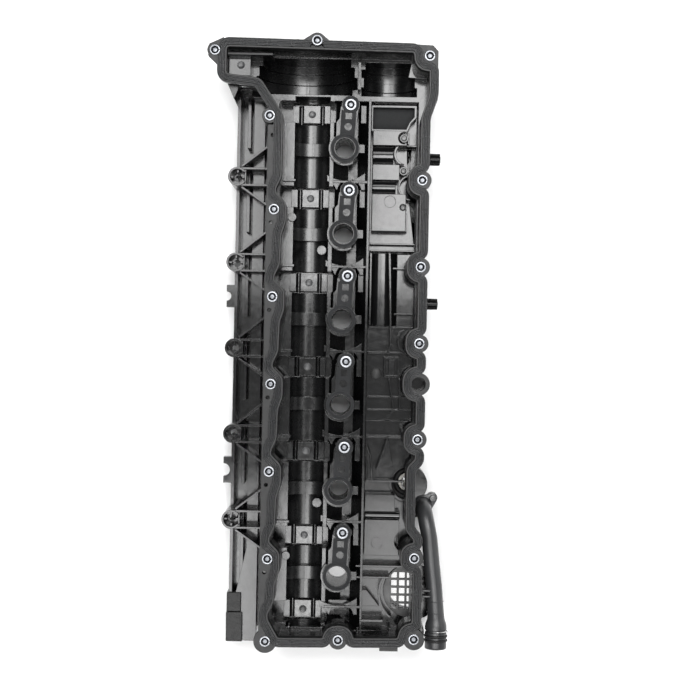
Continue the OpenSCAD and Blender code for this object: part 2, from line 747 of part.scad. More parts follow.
// One wire, wound between the plate and the housing
spring_turns = 5;
spring_r = 6.6;
wire_r = 0.7;
SPRING = [for (k = [0 : spring_turns * 12]) [for (j = [0 : 7]) let (
    a = 30 * k,
    z = -89.6 + 27.8 * k / (spring_turns * 12),
    r = spring_r + wire_r * cos(45 * j)
) [pcv[0] + r * cos(a), pcv[1] + r * sin(a), z + wire_r * sin(45 * j)]]];
module sweep(rings) {
    n = len(rings[0]);
    last = len(rings) - 1;
    points = [for (ring = rings) each ring];
    sides = [for (i = [0 : last - 1], j = [0 : n - 1]) each [
        [i * n + j, i * n + (j + 1) % n, (i + 1) * n + j],
        [i * n + (j + 1) % n, (i + 1) * n + (j + 1) % n, (i + 1) * n + j]]];
    ends = [for (j = [1 : n - 2]) each [[0, j + 1, j], [last * n, last * n + j, last * n + j + 1]]];
    polyhedron(points, concat(sides, ends));
}
module pcv_spring() {
    color("#a9abad") sweep(SPRING);
}

// ---- Breather pipe ----

pipe_z = -22;
PIPE = [[foot[0], foot[1], -56], [foot[0] + 1, foot[1] - 4, -34], [97, -184, pipe_z - 2], [103, -236, pipe_z],
    [105.3, -279, pipe_z]];
// The pipe widens a little towards the hose
module pipe_run(r) {
    for (i = [0 : len(PIPE) - 2]) {
        rod(PIPE[i], PIPE[i + 1], r + 0.08 * i);
        if (i > 0) translate(PIPE[i]) sphere(r = r + 0.08 * i + 0.2);
    }
}
module breather_pipe() {
    color("#2b2d30") difference() {
        union() {
            pipe_run(pipe_r);
            along_y(105.6, pipe_z, pipe_end_r, -300, -277);
            // foot
            post(foot, 10.5, -58, -53);
            post(foot + foot_screw, 5.2, -58, -53);
            post(foot - foot_screw, 5.2, -58, -53);
            rib(foot - foot_screw, foot + foot_screw, 9, -58, -53);
            // struts to the flange
            for (y = [-238, -244]) rib([88, y], [99, y], 2, -26, -12);
            block(right_line + flange_half, 90.2, -250, -233, -30, -9);
            rib([90, -234], [98, -230], 2, -26, -14);
            rib([90, -249], [99, -249], 2, -26, -14);
        }
        pipe_run(pipe_r - 2);
        rod(PIPE[0] - [0, 0, 5], PIPE[0] + [0, 0, 3], pipe_r - 1.4);
        along_y(105.6, pipe_z, pipe_end_r - 3, -301, -278);
        for (y = ORING_Y) difference() {
            along_y(105.6, pipe_z, pipe_end_r + 1, y - 1.3, y + 1.3);
            along_y(105.6, pipe_z, pipe_end_r - 1.3, y - 2, y + 2);
        }
        for (s = [-1, 1]) post(foot + s * foot_screw, 2.4, -60, -50);
        difference() {
            along_y(105.6, pipe_z, pipe_end_r + 1, -282.4, -280);
            along_y(105.6, pipe_z, pipe_end_r - 1.2, -283, -279);
        }
    }
}
ORING_Y = [-286.5, -291];
module breather_orings() {
    color("#202123") for (y = ORING_Y)
        translate([105.6, y, pipe_z]) rotate([90, 0, 0]) rotate_extrude() translate([pipe_end_r - 0.1, 0])
            circle(r = 1.1, $fn = 24);
}
// Spring clip that locks the hose, with a tab to pull
module breather_clip() {
    y = -281.2;
    color("#a6a8aa") {
        translate([105.6, y + 0.8, pipe_z]) rotate([90, 0, 0]) rotate([0, 0, -90])
            rotate_extrude(angle = 180) translate([pipe_end_r - 0.7, 0]) square([1.6, 1.6]);
        block(114.6, 119, y - 0.8, y + 0.8, pipe_z + 6, pipe_z + 7.6);
    }
}
module pipe_screws() {
    color("#9b9ea1") for (s = [-1, 1]) {
        p = foot + s * foot_screw;
        difference() {
            union() {
                post(p, 3.3, -53, -49.5);
                post(p, 2.2, -57.9, -52);
            }
            translate([p[0], p[1], -51.5]) cylinder(r = 1.8, h = 3, $fn = 6);
        }
    }
}

// ---- Side nozzles ----

module side_nozzle(y) {
    z = -24;
    x0 = 82.65;
    color("#1f2022") difference() {
        union() {
            along_x(y, z, 7, x0, 90);
            along_x(y, z, 3.4, 89, 101);
            for (a = [45, -45]) translate([90, y, z]) rotate([a, 0, 0]) block(-1, 10.5, -7, 7, -1.2, 1.2);
        }
        along_x(y, z, 1.8, 95, 102);
    }
}

// ---- Cable duct ----

module harness_duct() {
    color("#19191b") difference() {
        block(-118.6, -103, -272, -251, rest_z, -58);
        block(-116.4, -105.2, -273, -250, rest_z + 2.2, -61);
    }
}
module duct_end_cap() {
    color("#19191b") difference() {
        block(-119, -101.3, -304, -272, rest_z, -57.4);
        block(-116.8, -103.5, -301.8, -271, rest_z + 2.2, -60);
    }
}

// ---- What is drawn ----

cover_shell();
perimeter_gasket();
flange_sleeves();
coil_sleeves();
coil_gasket(0);  // coil_gasket_1
coil_gasket(1);  // coil_gasket_2
coil_gasket(2);  // coil_gasket_3
coil_gasket(3);  // coil_gasket_4
coil_gasket(4);  // coil_gasket_5
coil_gasket(5);  // coil_gasket_6
bolt(0);  // bolt_01
bolt(1);  // bolt_02
bolt(2);  // bolt_03
bolt(3);  // bolt_04
bolt(4);  // bolt_05
bolt(5);  // bolt_06
bolt(6);  // bolt_07
bolt(7);  // bolt_08
bolt(8);  // bolt_09
bolt(9);  // bolt_10
bolt(10);  // bolt_11
bolt(11);  // bolt_12
bolt(12);  // bolt_13
bolt(13);  // bolt_14
bolt(14);  // bolt_15
bolt(15);  // bolt_16
bolt(16);  // bolt_17
coil_bolt(0);  // coil_bolt_1
coil_bolt(1);  // coil_bolt_2
coil_bolt(2);  // coil_bolt_3
coil_bolt(3);  // coil_bolt_4
coil_bolt(4);  // coil_bolt_5
coil_bolt(5);  // coil_bolt_6
separator_plate_front();
separator_plate_mid();
separator_plate_rear();
separator_screen();
separator_labyrinth();
baffle_screws();
drain_valve();
filler_grille();
pcv_cap();
pcv_diaphragm();
pcv_plate();
pcv_spring();
breather_pipe();
breather_orings();
breather_clip();
pipe_screws();
side_nozzle(215.5);  // side_nozzle_front
side_nozzle(63);  // side_nozzle_mid
harness_duct();
duct_end_cap();
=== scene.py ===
"""Looks of the cylinder-head cover: studio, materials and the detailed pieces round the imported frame."""

import json
import math

import bpy
import bmesh
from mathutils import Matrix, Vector


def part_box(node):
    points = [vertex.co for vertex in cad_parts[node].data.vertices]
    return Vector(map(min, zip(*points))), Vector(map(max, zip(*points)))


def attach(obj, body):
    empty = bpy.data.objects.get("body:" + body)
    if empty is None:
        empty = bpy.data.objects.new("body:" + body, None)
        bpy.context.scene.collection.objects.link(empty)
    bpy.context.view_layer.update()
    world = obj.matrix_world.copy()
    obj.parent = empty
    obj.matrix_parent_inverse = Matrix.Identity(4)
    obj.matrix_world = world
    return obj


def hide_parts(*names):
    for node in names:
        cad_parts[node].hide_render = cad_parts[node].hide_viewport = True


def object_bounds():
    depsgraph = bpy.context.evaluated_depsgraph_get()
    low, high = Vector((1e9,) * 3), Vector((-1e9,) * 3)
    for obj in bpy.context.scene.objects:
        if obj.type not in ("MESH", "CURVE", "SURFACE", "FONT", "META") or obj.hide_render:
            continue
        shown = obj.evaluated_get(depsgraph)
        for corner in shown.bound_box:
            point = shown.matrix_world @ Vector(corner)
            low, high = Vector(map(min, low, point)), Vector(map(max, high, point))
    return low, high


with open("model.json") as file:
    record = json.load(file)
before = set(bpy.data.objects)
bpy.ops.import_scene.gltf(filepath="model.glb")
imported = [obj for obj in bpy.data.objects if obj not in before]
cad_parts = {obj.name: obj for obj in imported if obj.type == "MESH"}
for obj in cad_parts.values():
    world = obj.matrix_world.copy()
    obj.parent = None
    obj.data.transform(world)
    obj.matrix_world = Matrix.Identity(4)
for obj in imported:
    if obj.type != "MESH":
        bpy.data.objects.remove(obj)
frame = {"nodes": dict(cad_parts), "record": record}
CAD_BOX = [list(corner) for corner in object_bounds()]
MM = 0.001
TURN = 2 * math.pi


# ---- Node trees ----

def add_node(tree, kind, inputs=None, **settings):
    """A shader node; an input is a value, or another node's output that it is linked to."""
    made = tree.nodes.new(kind)
    for key, value in settings.items():
        setattr(made, key, value)
    for key, value in (inputs or {}).items():
        if isinstance(value, bpy.types.NodeSocket):
            tree.links.new(value, made.inputs[key])
        else:
            made.inputs[key].default_value = value
    return made


def noise_of(tree, where, scale, detail=3.0, rough=0.55, distortion=0.0):
    found = add_node(tree, "ShaderNodeTexNoise", {
        "Vector": where, "Scale": scale, "Detail": detail, "Roughness": rough, "Distortion": distortion})
    return found.outputs["Fac"]


def spread(tree, value, low, high, to_low, to_high):
    """value, drawn out from low..high to to_low..to_high."""
    ranged = add_node(tree, "ShaderNodeMapRange", {
        "Value": value, "From Min": low, "From Max": high, "To Min": to_low, "To Max": to_high})
    return ranged.outputs["Result"]


def mixed(tree, share, first, second):
    """Colour between first and second."""
    blend = add_node(tree, "ShaderNodeMix", data_type="RGBA")
    for index, value in ((0, share), (6, first), (7, second)):
        if isinstance(value, bpy.types.NodeSocket):
            tree.links.new(value, blend.inputs[index])
        else:
            blend.inputs[index].default_value = value
    return blend.outputs[2]


def grey(value, tint=(1.0, 1.0, 1.0)):
    return (value * tint[0], value * tint[1], value * tint[2], 1.0)


def paler(colour, times, more):
    return tuple(min(1.0, channel * times + more) for channel in colour[:3]) + (1.0,)


# ---- Materials ----

def surface(name, dark, light, rough, grain, wave=(90.0, 0.0), edge=(0.0004, 0.0), stretch=(1, 1, 1),
            metallic=0.0, specular=0.5, specks=0.0, matt_above=None, curved=0.0):
    """A solid material: mottled colour, uneven gloss, fine grain, slow waviness and rounded edges painted
    lighter, partly as wear and partly as a painted highlight.

    dark and light are colours, rough is a range; grain and wave are (scale per metre, depth in metres);
    edge is (radius in metres, how much lighter the edges are). Specks of a lighter colour are scattered
    over it. Above the height matt_above the surface is matt, and walls and curved faces are rougher than
    level ones by curved.
    """
    made = bpy.data.materials.new(name)
    made.use_nodes = True
    tree = made.node_tree
    shader = tree.nodes["Principled BSDF"]
    place = add_node(tree, "ShaderNodeTexCoord").outputs["Object"]
    along = add_node(tree, "ShaderNodeMapping", {"Vector": place, "Scale": stretch}).outputs["Vector"]
    cloud = noise_of(tree, place, 34.0, 4.0, 0.6)
    streak = noise_of(tree, along, grain[0] * 0.12, 5.0, 0.6, 0.4)
    fine = noise_of(tree, along, grain[0], 4.0, 0.6)
    colour = mixed(tree, spread(tree, cloud, 0.3, 0.7, 0.0, 1.0), dark, light)
    if specks:
        dots = spread(tree, noise_of(tree, place, 2600.0, 1.0), 0.66, 0.74, 0.0, specks)
        colour = mixed(tree, dots, colour, paler(light, 3, 0.05))
    round_edges = add_node(tree, "ShaderNodeBevel", {"Radius": edge[0]}, samples=6).outputs["Normal"]
    flat = add_node(tree, "ShaderNodeNewGeometry").outputs["Normal"]
    agreement = add_node(tree, "ShaderNodeVectorMath", operation="DOT_PRODUCT")
    tree.links.new(round_edges, agreement.inputs[0])
    tree.links.new(flat, agreement.inputs[1])
    # the edges are painted lighter: partly wear, partly a painted highlight along the rims
    wear_and_edge_highlight = spread(tree, agreement.outputs["Value"], 0.99, 0.75, 0.0, edge[1])
    colour = mixed(tree, wear_and_edge_highlight, colour, paler(light, 4, 0.02))
    tree.links.new(colour, shader.inputs["Base Color"])
    gloss = spread(tree, streak, 0.3, 0.7, rough[0], rough[1])
    if curved:
        facing = add_node(tree, "ShaderNodeNewGeometry").outputs["Normal"]
        facing = add_node(tree, "ShaderNodeSeparateXYZ", {"Vector": facing}).outputs["Z"]
        level = add_node(tree, "ShaderNodeMath", {0: facing}, operation="ABSOLUTE").outputs["Value"]
        dull = spread(tree, level, 0.97, 0.999, curved, 0.0)
        gloss = add_node(tree, "ShaderNodeMath", {0: gloss, 1: dull}, operation="ADD").outputs["Value"]
    if matt_above is not None:
        height = add_node(tree, "ShaderNodeSeparateXYZ", {"Vector": place}).outputs["Z"]
        matt = spread(tree, height, matt_above - 0.001, matt_above + 0.001, 0.0, MATT_FLANGE)
        gloss = add_node(tree, "ShaderNodeMath", {0: gloss, 1: matt}, operation="ADD").outputs["Value"]
        dim = spread(tree, height, matt_above - 0.001, matt_above + 0.001, specular, specular * 0.65)
        tree.links.new(dim, shader.inputs["Specular IOR Level"])
    tree.links.new(gloss, shader.inputs["Roughness"])
    normal = round_edges
    if wave[1]:
        slow = noise_of(tree, place, wave[0], 2.0, 0.4)
        normal = add_node(tree, "ShaderNodeBump", {
            "Strength": 1.0, "Distance": wave[1], "Height": slow, "Normal": normal}).outputs["Normal"]
    normal = add_node(tree, "ShaderNodeBump", {
        "Strength": 1.0, "Distance": grain[1], "Height": fine, "Normal": normal}).outputs["Normal"]
    tree.links.new(normal, shader.inputs["Normal"])
    shader.inputs["Metallic"].default_value = metallic
    shader.inputs["Specular IOR Level"].default_value = specular
    return made


def fleece(name):
    """Matted fibres of the oil screen."""
    made = bpy.data.materials.new(name)
    made.use_nodes = True
    tree = made.node_tree
    shader = tree.nodes["Principled BSDF"]
    place = add_node(tree, "ShaderNodeTexCoord").outputs["Object"]
    fibres = noise_of(tree, place, 900.0, 8.0, 0.75, 3.0)
    clumps = noise_of(tree, place, 130.0, 4.0, 0.6)
    colour = mixed(tree, spread(tree, fibres, 0.35, 0.7, 0.0, 1.0), grey(0.010), grey(0.034, (0.95, 1, 1.04)))
    colour = mixed(tree, spread(tree, clumps, 0.4, 0.75, 0.0, 0.5), colour, grey(0.02))
    tree.links.new(colour, shader.inputs["Base Color"])
    bump = add_node(tree, "ShaderNodeBump", {"Strength": 1.0, "Distance": 0.0004, "Height": fibres})
    tree.links.new(bump.outputs["Normal"], shader.inputs["Normal"])
    shader.inputs["Roughness"].default_value = 0.92
    shader.inputs["Specular IOR Level"].default_value = 0.15
    shader.inputs["Sheen Weight"].default_value = 0.15
    return made


COOL = (0.97, 1.0, 1.06)
BLUISH = (0.96, 1.0, 1.07)
MATT_FLANGE = 0.32      # how much rougher the eroded finish of the flange is
FLANGE_DEPTH = 12 * MM  # how far below the gasket face that finish goes
MATERIALS = {
    "cover_plastic": surface("moulded_cover", grey(0.0020, COOL), grey(0.0032, COOL), (0.08, 0.17),
                             (1500.0, 0.000004), (75.0, 0.00005), (0.0007, 0.05),
                             matt_above=CAD_BOX[1][2] - FLANGE_DEPTH, curved=0.16),
    "baffle_plastic": surface("moulded_baffle", grey(0.0022, COOL), grey(0.0036, COOL), (0.08, 0.16),
                              (1400.0, 0.000004), (60.0, 0.00006), (0.0006, 0.05)),
    "duct_plastic": surface("duct_plastic", grey(0.0022), grey(0.004), (0.2, 0.32),
                            (1500.0, 0.000008), (90.0, 0.00005), (0.0006, 0.12), specular=0.14),
    "pipe_plastic": surface("pipe_plastic", grey(0.016, COOL), grey(0.024, COOL), (0.3, 0.44),
                            (1300.0, 0.000012), (110.0, 0.00006), (0.0006, 0.06)),
    "grille_plastic": surface("grille_plastic", grey(0.02), grey(0.03), (0.35, 0.5),
                              (1400.0, 0.00001), (90.0, 0.00003), (0.0005, 0.08)),
    "plate_plastic": surface("plate_plastic", grey(0.5, (1, 0.97, 0.88)), grey(0.62, (1, 0.97, 0.88)),
                             (0.35, 0.5), (1400.0, 0.00001), edge=(0.0004, 0.1)),
    "flange_rubber": surface("flange_rubber", grey(0.011, COOL), grey(0.019, COOL), (0.24, 0.34),
                             (1100.0, 0.000012), (160.0, 0.00005), (0.0003, 0.2), specular=0.4),
    "coil_rubber": surface("coil_rubber", grey(0.012, COOL), grey(0.02, COOL), (0.5, 0.66),
                           (1100.0, 0.00002), (160.0, 0.00005), (0.0005, 0.25), specular=0.11),
    "valve_rubber": surface("valve_rubber", grey(0.012), grey(0.018), (0.4, 0.55),
                            (1200.0, 0.00002), edge=(0.0004, 0.06), specular=0.22),
    "sleeve_steel": surface("sleeve_steel", grey(0.2, COOL), grey(0.3, COOL), (0.34, 0.5),
                            (1800.0, 0.000008), edge=(0.0003, 0.2), stretch=(1, 1, 0.12), metallic=1.0),
    "bolt_zinc": surface("bolt_zinc", grey(0.1, BLUISH), grey(0.17, BLUISH), (0.3, 0.44),
                         (1600.0, 0.00001), edge=(0.0003, 0.25), metallic=1.0, specks=0.25),
    "screw_steel": surface("screw_steel", grey(0.06), grey(0.12), (0.3, 0.45),
                           (1600.0, 0.00001), edge=(0.0003, 0.3), metallic=1.0),
    "spring_steel": surface("spring_steel", grey(0.4), grey(0.55), (0.25, 0.38),
                            (1600.0, 0.00001), edge=(0.0002, 0.2), metallic=1.0),
    "screen_fleece": fleece("screen_fleece"),
}
SLOT_OF = {row["node"]: row["material_slot"] for row in frame["record"]["subparts"]}
for node_name, node in frame["nodes"].items():
    node.data.materials.clear()
    node.data.materials.append(MATERIALS[SLOT_OF[node_name]])


# ---- Shapes ----

def loft(rings, around=True, along=False, caps=True):
    """Points and faces of a skin over rings of points.

    around closes each ring, and along joins the last ring to the first.
    """
    count = len(rings[0])
    points = [p for ring in rings for p in ring]
    faces = []
    for i in range(len(rings) if along else len(rings) - 1):
        a, b = i * count, (i + 1) % len(rings) * count
        for j in range(count if around else count - 1):
            k = (j + 1) % count
            faces.append((a + j, a + k, b + k, b + j))
    if caps and not along:
        faces.append(tuple(reversed(range(count))))
        faces.append(tuple(range(len(points) - count, len(points))))
    return points, faces


def joined(*parts):
    """Several point and face lists as one."""
    points, faces = [], []
    for more_points, more_faces in parts:
        start = len(points)
        points += more_points
        faces += [tuple(start + i for i in face) for face in more_faces]
    return points, faces


def shifted(part, by):
    return [Vector(p) + Vector(by) for p in part[0]], part[1]


def turned(profile, segments=48):
    """A shape turned on the z axis; each row is (radius, or a function of the angle, and z) in mm."""
    rings = []
    for radius, z in profile:
        ring = []
        for i in range(segments):
            angle = TURN * i / segments
            r = radius(angle) if callable(radius) else radius
            ring.append(Vector((r * math.cos(angle), r * math.sin(angle), z)) * MM)
        rings.append(ring)
    return loft(rings)


def bush(section, slit, segments=56):
    """A section of (radius, z) in mm rolled round the z axis, with a slit this many radians wide."""
    rings = []
    for i in range(segments + 1):
        angle = slit / 2 + (TURN - slit) * i / segments
        rings.append([Vector((r * math.cos(angle), r * math.sin(angle), z)) * MM for r, z in section])
    return loft(rings)


def smooth_path(knots, steps):
    """A curve through the knots, each a list of numbers."""
    path = []
    for i in range(len(knots) - 1):
        a, b, c, d = (knots[min(max(i + k, 0), len(knots) - 1)] for k in (-1, 0, 1, 2))
        for j in range(steps):
            t = j / steps
            path.append([0.5 * (2 * q + (r - p) * t + (2 * p - 5 * q + 4 * r - s) * t * t
                                + (3 * q - p - 3 * r + s) * t ** 3) for p, q, r, s in zip(a, b, c, d)])
    path.append(list(knots[-1]))
    return path


def ring_round(place, side, other, radius, segments):
    """Points of a circle in the plane of two directions."""
    return [place + (side * math.cos(TURN * k / segments) + other * math.sin(TURN * k / segments)) * radius
            for k in range(segments)]


def tube_along(path, radii, segments=32, closed=False):
    """A round tube along points; radii is one radius, or one for each point."""
    path = [Vector(p) for p in path]
    radii = radii if isinstance(radii, list) else [radii] * len(path)
    rings, side = [], None
    for i, (place, radius) in enumerate(zip(path, radii)):
        before = path[i - 1] if i or closed else place
        after = path[(i + 1) % len(path)] if closed or i < len(path) - 1 else place
        ahead = (after - before).normalized()
        side = ahead.orthogonal() if side is None else side - ahead * side.dot(ahead)
        side.normalize()
        rings.append(ring_round(place, side, ahead.cross(side), radius, segments))
    return loft(rings, along=closed)


def plate_of(circles, layers, segments=96):
    """A plate round circles of (x, y, radius); each layer is (z, how far out its outline is), in mm."""
    rings = []
    for z, out in layers:
        ring = []
        for i in range(segments):
            way = Vector((math.cos(TURN * i / segments), math.sin(TURN * i / segments)))
            x, y, r = max(circles, key=lambda c: c[0] * way.x + c[1] * way.y + c[2])
            ring.append(Vector((x + way.x * (r + out), y + way.y * (r + out), z)) * MM)
        rings.append(ring)
    return loft(rings)


def bar(low, high, chamfer):
    """A box between two corners with all its edges chamfered, in mm."""
    (x0, y0, z0), (x1, y1, z1) = low, high
    rings = []
    for z, cut in ((z0, chamfer), (z0 + chamfer, 0), (z1 - chamfer, 0), (z1, chamfer)):
        a, b, c, d, e = x0 + cut, x1 - cut, y0 + cut, y1 - cut, chamfer
        ring = [(a + e, c), (b - e, c), (b, c + e), (b, d - e),
                (b - e, d), (a + e, d), (a, d - e), (a, c + e)]
        rings.append([Vector((x, y, z)) * MM for x, y in ring])
    return loft(rings)


def piece(name, shape, slot, body="cover", instead_of=(), at=(0, 0, 0), sharp=35):
    """A piece in the row frame that rides on a body; shape is (points, faces), or a mesh made before."""
    if isinstance(shape, bpy.types.Mesh):
        mesh = shape
    else:
        mesh = bpy.data.meshes.new(name)
        mesh.from_pydata([tuple(p) for p in shape[0]], [], shape[1])
        mesh.polygons.foreach_set("use_smooth", [True] * len(mesh.polygons))
        mesh.set_sharp_from_angle(angle=math.radians(sharp))
        mesh.materials.append(MATERIALS[slot])
        mesh.update()
    made = bpy.data.objects.new(name, mesh)
    made.location = at
    bpy.context.scene.collection.objects.link(made)
    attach(made, body)
    if instead_of:
        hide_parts(*instead_of)
    return made


def solids_of(node):
    """The boxes, in mm, of the separate solids of a CAD node, from low y to high y."""
    mesh = bmesh.new()
    mesh.from_mesh(frame["nodes"][node].data)
    bmesh.ops.remove_doubles(mesh, verts=mesh.verts, dist=0.000005)
    left, found = set(mesh.verts), []
    while left:
        group, edge = set(), {next(iter(left))}
        while edge:
            group |= edge
            edge = {e.other_vert(v) for v in edge for e in v.link_edges} - group
        left -= group
        low = Vector(min(v.co[i] for v in group) for i in range(3)) / MM
        high = Vector(max(v.co[i] for v in group) for i in range(3)) / MM
        found.append((low, high))
    mesh.free()
    return sorted(found, key=lambda pair: (round(pair[0].y, 2), round(pair[0].x, 2)))


def box_mm(node):
    low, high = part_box(node)
    return low / MM, high / MM


def base_of(low, high):
    """The middle of a box's bottom, in metres; the corners are in mm."""
    return Vector(((low.x + high.x) / 2, (low.y + high.y) / 2, low.z)) * MM


# ---- CAD nodes with rounded edges ----

def rounded(node, width, clamp=True):
    """Rounds the edges of a CAD node's mesh by width in mm, with modifiers."""
    cad = frame["nodes"][node]
    cad.data.polygons.foreach_set("use_smooth", [True] * len(cad.data.polygons))
    weld = cad.modifiers.new("weld", "WELD")
    weld.merge_threshold = 0.005 * MM
    flat = cad.modifiers.new("flat", "DECIMATE")
    flat.decimate_type = "DISSOLVE"
    flat.angle_limit = math.radians(0.5)
    edges = cad.modifiers.new("edges", "BEVEL")
    edges.width = width * MM
    edges.segments = 2
    edges.limit_method = "ANGLE"
    edges.angle_limit = math.radians(30)
    edges.use_clamp_overlap = clamp
    even = cad.modifiers.new("even", "WEIGHTED_NORMAL")
    even.weight = 90


for node_name, edge_width in (("filler_grille", 0.4), ("harness_duct", 0.8),
                              ("duct_end_cap", 0.8), ("pcv_cap", 0.5), ("side_nozzle_front", 0.25),
                              ("side_nozzle_mid", 0.25), ("separator_plate_front", 0.3),
                              ("separator_plate_rear", 0.25)):
    rounded(node_name, edge_width, clamp=False)
for node_name in ["separator_plate_mid"] + [f"coil_gasket_{i}" for i in range(1, 7)]:
    rounded(node_name, 0.25)


# ---- Bolts and sleeves ----

def hexagon(radius):
    """The radius of a hexagon in each direction, from its corner radius."""
    return lambda angle: radius * math.cos(TURN / 12) / math.cos(angle % (TURN / 6) - TURN / 12)


def star(outer, inner):
    """The radius of a six-lobed socket in each direction."""
    return lambda angle: (outer + inner) / 2 + (outer - inner) / 2 * math.cos(6 * angle)


def smaller(first, second):
    return lambda angle: min(first(angle), second)


def thread(z, pitch=1.0, deep=0.52, outer=2.98):
    """The radius round a thread's section at height z."""
    def radius(angle):
        phase = (z / pitch - angle / TURN) % 1.0
        return outer - deep * abs(2 * phase - 1) ** 1.3
    return radius


def bolt_shape(length):
    """A flange bolt standing on its head: hexagon socket and head, flange, thread and point."""
    head = hexagon(5.75)
    rows = [(0.6, 4.1), (hexagon(2.6), 3.8), (hexagon(2.9), 3.6), (hexagon(2.9), 0.4), (hexagon(3.3), 0.0),
            (4.9, 0.0), (5.1, 0.12), (smaller(head, 5.35), 0.35), (smaller(head, 5.6), 0.65), (head, 0.95),
            (head, 5.7), (5.85, 5.95), (6.3, 6.1), (6.55, 6.35), (6.58, 6.7), (6.58, 7.2), (6.4, 7.48),
            (3.1, 7.5), (2.65, 7.7), (2.5, 8.1), (2.5, length - 13.9)]
    z = length - 13.7
    while z < length - 4.0:
        rows.append((thread(z), z))
        z += 1 / 6
    rows += [(2.9, length - 3.8), (2.75, length - 2.9), (2.75, length - 0.7), (2.3, length - 0.1),
             (2.1, length), (0.5, length - 0.15)]
    return turned(rows, 24)


FLANGE_BOLTS = sorted(name for name in frame["nodes"] if name.startswith("bolt_"))
COIL_BOLTS = sorted(name for name in frame["nodes"] if name.startswith("coil_bolt_"))
bolt_meshes = {}
for bolt_name in FLANGE_BOLTS + COIL_BOLTS:
    low, high = box_mm(bolt_name)
    length = round(high.z - low.z, 2)
    made = piece(bolt_name + "_threaded", bolt_meshes.get(length) or bolt_shape(length), "bolt_zinc",
                 bolt_name, [bolt_name], base_of(low, high))
    bolt_meshes[length] = made.data

SLIT = 0.45             # gap of a rolled sleeve, in mm
for node_name in ("flange_sleeves", "coil_sleeves"):
    parts = []
    for low, high in solids_of(node_name):
        tall, out = high.z - low.z, (high.x - low.x) / 2 - 0.02
        # the top of the narrow stretch, which the bolt's thread is too wide to pass
        waist = tall - 15.2
        outside = [(out - 0.5, tall), (out - 0.12, tall - 0.15), (out, tall - 0.5),
                   (out, 0.5), (out - 0.15, 0.12), (out - 0.5, 0)]
        inside = [(3.9, 0), (3.36, 0.5), (3.36, waist - 2.5), (2.72, waist - 1.9), (2.72, waist - 0.1),
                  (3.36, waist + 0.5), (3.36, tall - 1.6), (4.05, tall - 0.15), (4.2, tall)]
        parts.append(shifted(bush((outside + inside)[::-1], SLIT / out), base_of(low, high)))
    piece(node_name + "_rolled", joined(*parts), "sleeve_steel", instead_of=[node_name])


# ---- The long gasket ----

def length_of(points):
    return sum((a - b).length for a, b in zip(points, points[1:]))


def outer_loop(node, height):
    """The longest loop of sharp edges of a CAD node at a height, in mm."""
    mesh = bmesh.new()
    mesh.from_mesh(frame["nodes"][node].data)
    bmesh.ops.remove_doubles(mesh, verts=mesh.verts, dist=0.000005)
    steps = {}
    for edge in mesh.edges:
        if all(abs(v.co.z / MM - height) < 0.01 for v in edge.verts):
            flat = [abs(face.normal.z) > 0.9 for face in edge.link_faces]
            if any(flat) and not all(flat):
                for v in edge.verts:
                    steps.setdefault(v.index, []).append(edge.other_vert(v).index)
    places = [v.co.xy / MM for v in mesh.verts]
    mesh.free()
    best = []
    while steps:
        here = min(steps)
        loop = []
        while here in steps:
            loop.append(here)
            here = next((n for n in steps.pop(here) if n in steps), None)
        points = [places[i] for i in loop]
        if length_of(points) > length_of(best):
            best = points
    return best


def spaced(loop, step):
    """Evenly spaced points on a closed loop."""
    ring = loop + [loop[0]]
    total = length_of(ring)
    count = round(total / step)
    points = []
    walked = 0.0
    k = 0
    for i in range(count):
        goal = total * i / count
        while walked + (ring[k + 1] - ring[k]).length < goal:
            walked += (ring[k + 1] - ring[k]).length
            k += 1
        part = (goal - walked) / (ring[k + 1] - ring[k]).length
        points.append(ring[k].lerp(ring[k + 1], part))
    return points


GASKET_HALF = 2.2       # half its width, in mm
BOLT_CLEARANCE = 6.0    # how near a bolt's middle its edge may come, in mm
low, high = box_mm("perimeter_gasket")
line = spaced(outer_loop("perimeter_gasket", high.z), 1.1)
if sum(a.cross(b) for a, b in zip(line, line[1:] + line[:1])) < 0:
    line.reverse()
# at each point, the direction towards the gasket's inside
ways = []
for before, after in zip(line[-2:] + line[:-2], line[2:] + line[:2]):
    heading = (after - before).normalized()
    ways.append(Vector((-heading.y, heading.x)))
# from one side to the middle: wall, sealing lip, groove and low bead; the other side mirrors it
HALF_PROFILE = [(GASKET_HALF, low.z), (GASKET_HALF, -0.55), (2.08, -0.2), (1.82, -0.02), (1.5, 0.0),
                (1.22, -0.2), (1.0, -0.8), (0.75, -1.15), (0.5, -1.05), (0.28, -0.72)]
PROFILE = [(-across, z) for across, z in HALF_PROFILE] + [(0, -0.6)] + HALF_PROFILE[::-1]
bolt_middles = [(low + high).xy / 2 for low, high in map(box_mm, FLANGE_BOLTS)]
rings = []
for place, way in zip(line, ways):
    ring = []
    for across, z in PROFILE:
        spot = place + way * (GASKET_HALF - across)
        for centre in bolt_middles:
            if (spot - centre).length < BOLT_CLEARANCE:
                spot = centre + (spot - centre).normalized() * BOLT_CLEARANCE
        ring.append(Vector((spot.x, spot.y, z)) * MM)
    rings.append(ring)
piece("perimeter_gasket_lipped", loft(rings, along=True), "flange_rubber",
      instead_of=["perimeter_gasket"], sharp=60)


# ---- Breather pipe, hose end and clip ----

low, high = box_mm("pipe_screws")
foot = (low + high) / 2
low, high = box_mm("breather_orings")
end = (low + high) / 2

# middle line of the pipe as (x, y, z, radius), from the foot up and back to the hose end
KNOTS = [(foot.x, foot.y, -57, 8.4), (foot.x + 0.2, foot.y - 0.6, -48, 8.4),
         (foot.x + 0.9, foot.y - 4, -36, 8.4), (foot.x + 3, foot.y - 15, -28, 8.4), (97.4, -186, -24.6, 8.4),
         (100.2, -212, -23, 8.45), (103, -236, end.z, 8.5), (104.6, -256, end.z, 8.6),
         (end.x - 0.1, -268, end.z, 9.0)]
HOSE_END_Y = -268       # behind it the pipe runs straight
HOSE_R = 11.45
